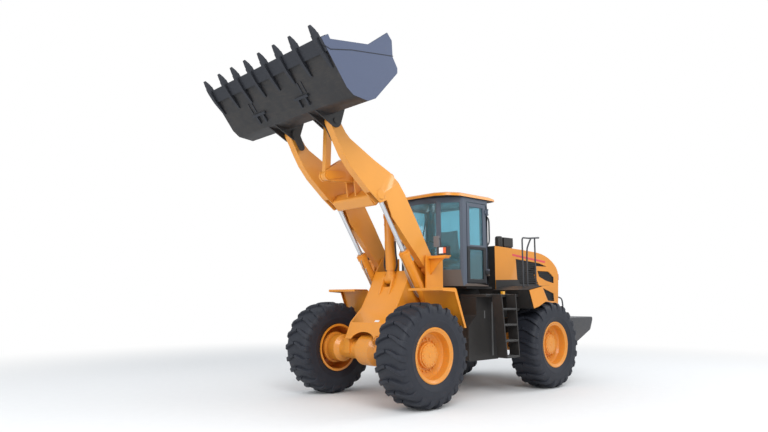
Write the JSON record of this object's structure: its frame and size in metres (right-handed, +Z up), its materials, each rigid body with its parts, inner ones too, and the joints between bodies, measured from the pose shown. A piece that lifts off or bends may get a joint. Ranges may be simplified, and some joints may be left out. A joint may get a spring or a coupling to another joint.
{
  "type": "articulated wheel loader",
  "caption": "Articulated wheel loader with a raised bucket on a Z-bar linkage, a glazed cab, a rear engine hood, ladders and turning wheels.",
  "frame": {"origin": "on the ground under the middle of the machine's overall box, bucket raised", "axes": "+X forward, +Y to the machine's left, +Z up"},
  "size_m": [7.4572, 3, 5.4169],
  "materials": {
    "yellow": "gloss orange-yellow paint",
    "bucket_steel": "satin blue-grey paint, worn at the edges",
    "cab_grey": "satin blue-grey paint",
    "black_steel": "satin black paint",
    "counterweight_grey": "satin dark grey paint",
    "pin_steel": "machined steel",
    "chrome": "hard chrome",
    "tyre": "matt black rubber",
    "rim_yellow": "gloss orange-yellow paint",
    "glass": "tinted safety glass",
    "seat": "dark woven cover"
  },
  "bodies": {
    "rear": {"rear_frame": "black_steel", "rear_frame_rails": "black_steel", "steering_pins": "pin_steel", "counterweight": "counterweight_grey", "axle_rear": "yellow", "engine_block": "black_steel", "engine_hood": "yellow", "side_grilles": "black_steel", "rear_fenders": "black_steel", "side_tanks": "black_steel", "platforms": "black_steel", "ladders": "black_steel", "handrails": "black_steel", "cab_shell": "cab_grey", "cab_glass": "glass", "cab_roof": "yellow", "seat": "seat", "steering_console": "black_steel", "air_intake": "black_steel"},
    "front": {"front_frame": "yellow", "front_frame_sides": "yellow", "front_plate": "yellow", "lift_towers": "yellow", "front_pins": "pin_steel", "axle_front": "yellow", "front_fenders": "yellow", "headlamps": "black_steel"},
    "boom": {"boom_arm_left": "yellow", "boom_arm_right": "yellow", "boom_crossbeam": "yellow"},
    "bucket_pins": {"bucket_pins": "pin_steel"},
    "bucket": {"bucket": "bucket_steel", "bucket_teeth": "bucket_steel"},
    "bellcrank_pin": {"bellcrank_pin": "pin_steel"},
    "bellcrank": {"bellcrank": "yellow"},
    "link_pin": {"link_pin": "pin_steel"},
    "link": {"bucket_link": "yellow"},
    "tilt_pin": {"tilt_pin": "pin_steel"},
    "tilt_barrel": {"tilt_barrel": "yellow"},
    "tilt_rod": {"tilt_rod": "chrome"},
    "lift_barrel": {"lift_barrel": "yellow"},
    "lift_rod": {"lift_rod": "chrome"},
    "cab_door": {"cab_door": "cab_grey", "door_glass": "glass"},
    "rear_grille_door": {"rear_grille_door": "black_steel"},
    "wheel_front_left": {"tyre_front_left": "tyre", "rim_front_left": "rim_yellow"},
    "wheel_front_right": {"tyre_front_right": "tyre", "rim_front_right": "rim_yellow"},
    "wheel_rear_left": {"tyre_rear_left": "tyre", "rim_rear_left": "rim_yellow"},
    "wheel_rear_right": {"tyre_rear_right": "tyre", "rim_rear_right": "rim_yellow"},
    "steering_barrel_left": {"steering_barrel_left": "black_steel"},
    "steering_rod_left": {"steering_rod_left": "chrome"},
    "steering_barrel_right": {"steering_barrel_right": "black_steel"},
    "steering_rod_right": {"steering_rod_right": "chrome"}
  },
  "joints": [
    {"name": "steering", "type": "hinge", "parent": "rear", "child": "front", "pos_m": [-0.34358, 0, 1], "axis": [0, 0, -1], "range_deg": [-35, 35]},
    {"name": "wheel_front_left", "type": "hinge", "parent": "front", "child": "wheel_front_left", "pos_m": [1.30642, 1.125, 0.78], "axis": [0, 1, 0], "continuous": true},
    {"name": "wheel_front_right", "type": "hinge", "parent": "front", "child": "wheel_front_right", "pos_m": [1.30642, -1.125, 0.78], "axis": [0, 1, 0], "continuous": true},
    {"name": "wheel_rear_left", "type": "hinge", "parent": "rear", "child": "wheel_rear_left", "pos_m": [-1.99358, 1.125, 0.78], "axis": [0, 1, 0], "continuous": true},
    {"name": "wheel_rear_right", "type": "hinge", "parent": "rear", "child": "wheel_rear_right", "pos_m": [-1.99358, -1.125, 0.78], "axis": [0, 1, 0], "continuous": true},
    {"name": "boom_lift", "type": "hinge", "parent": "front", "child": "boom", "pos_m": [0.48641, 0, 2.15], "axis": [0, 1, 0], "range_deg": [0, 81.5]},
    {"name": "bucket_level", "type": "hinge", "parent": "boom", "child": "bucket_pins", "pos_m": [2.60742, 0, 4.255], "axis": [0, 1, 0], "range_deg": [-73, 1]},
    {"name": "bucket_tilt", "type": "hinge", "parent": "bucket_pins", "child": "bucket", "pos_m": [2.60742, 0, 4.255], "axis": [0, -1, 0], "range_deg": [-97, 0]},
    {"name": "bellcrank_lift", "type": "hinge", "parent": "boom", "child": "bellcrank_pin", "pos_m": [1.70941, 0, 3.644], "axis": [0, 1, 0], "range_deg": [-1, 42]},
    {"name": "bellcrank_tilt", "type": "hinge", "parent": "bellcrank_pin", "child": "bellcrank", "pos_m": [1.70941, 0, 3.644], "axis": [0, 1, 0], "range_deg": [-37.5, 1]},
    {"name": "link_lift", "type": "hinge", "parent": "bellcrank", "child": "link_pin", "pos_m": [2.29741, 0, 3.548], "axis": [0, 1, 0], "range_deg": [-21, 1]},
    {"name": "link_tilt", "type": "hinge", "parent": "link_pin", "child": "link", "pos_m": [2.29741, 0, 3.548], "axis": [0, 1, 0], "range_deg": [-1, 79]},
    {"name": "tilt_cylinder_lift", "type": "hinge", "parent": "front", "child": "tilt_pin", "pos_m": [0.85942, 0, 1.946], "axis": [0, 1, 0], "range_deg": [-1, 93]},
    {"name": "tilt_cylinder_swing", "type": "hinge", "parent": "tilt_pin", "child": "tilt_barrel", "pos_m": [0.85942, 0, 1.946], "axis": [0, 1, 0], "range_deg": [-0.5, 7.5]},
    {"name": "tilt_cylinder_stroke", "type": "slide", "parent": "tilt_barrel", "child": "tilt_rod", "axis": [0.0502, 0, 0.9987], "range_m": [-0.45, 0.002]},
    {"name": "lift_cylinder_swing", "type": "hinge", "parent": "front", "child": "lift_barrel", "pos_m": [0.48641, 0, 1.43], "axis": [0, 1, 0], "range_deg": [-1, 71]},
    {"name": "lift_cylinder_stroke", "type": "slide", "parent": "lift_barrel", "child": "lift_rod", "axis": [0.5433, 0, 0.8396], "range_m": [-0.9, 0.002]},
    {"name": "steering_cylinder_swing_left", "type": "hinge", "parent": "rear", "child": "steering_barrel_left", "pos_m": [-1.19358, 0.195, 1.08], "axis": [0, 0, 1], "range_deg": [-5, 5]},
    {"name": "steering_cylinder_stroke_left", "type": "slide", "parent": "steering_barrel_left", "child": "steering_rod_left", "axis": [0.9975, 0.0704, 0], "range_m": [-0.19, 0.19]},
    {"name": "steering_cylinder_swing_right", "type": "hinge", "parent": "rear", "child": "steering_barrel_right", "pos_m": [-1.19358, -0.195, 1.08], "axis": [0, 0, 1], "range_deg": [-5, 5]},
    {"name": "steering_cylinder_stroke_right", "type": "slide", "parent": "steering_barrel_right", "child": "steering_rod_right", "axis": [0.9975, -0.0704, 0], "range_m": [-0.19, 0.19]},
    {"name": "cab_door", "type": "hinge", "parent": "rear", "child": "cab_door", "pos_m": [-0.80858, 0.784, 2.6], "axis": [0, 0, 1], "range_deg": [0, 85]},
    {"name": "rear_grille_door", "type": "hinge", "parent": "rear", "child": "rear_grille_door", "pos_m": [-3.49358, 0.502, 1.7], "axis": [0, 0, -1], "range_deg": [0, 100]}
  ],
  "couplings": [
    {"joint": "bucket_level", "follows": "boom_lift", "ratio": -0.88834},
    {"joint": "bellcrank_lift", "follows": "boom_lift", "ratio": 0.50675},
    {"joint": "bellcrank_tilt", "follows": "bucket_tilt", "ratio": 0.37361},
    {"joint": "link_lift", "follows": "boom_lift", "ratio": -0.25153},
    {"joint": "link_tilt", "follows": "bucket_tilt", "ratio": -0.80206},
    {"joint": "tilt_cylinder_lift", "follows": "boom_lift", "ratio": 1.1337},
    {"joint": "tilt_cylinder_swing", "follows": "bucket_tilt", "ratio": -0.070103},
    {"joint": "tilt_cylinder_stroke", "follows": "bucket_tilt", "m_per_rad": 0.26019},
    {"joint": "lift_cylinder_swing", "follows": "boom_lift", "ratio": 0.85545},
    {"joint": "lift_cylinder_stroke", "follows": "boom_lift", "m_per_rad": -0.61493},
    {"joint": "steering_cylinder_swing_left", "follows": "steering", "ratio": -0.10888},
    {"joint": "steering_cylinder_stroke_left", "follows": "steering", "m_per_rad": 0.24345},
    {"joint": "steering_cylinder_swing_right", "follows": "steering", "ratio": -0.10888},
    {"joint": "steering_cylinder_stroke_right", "follows": "steering", "m_per_rad": -0.24345}
  ]
}
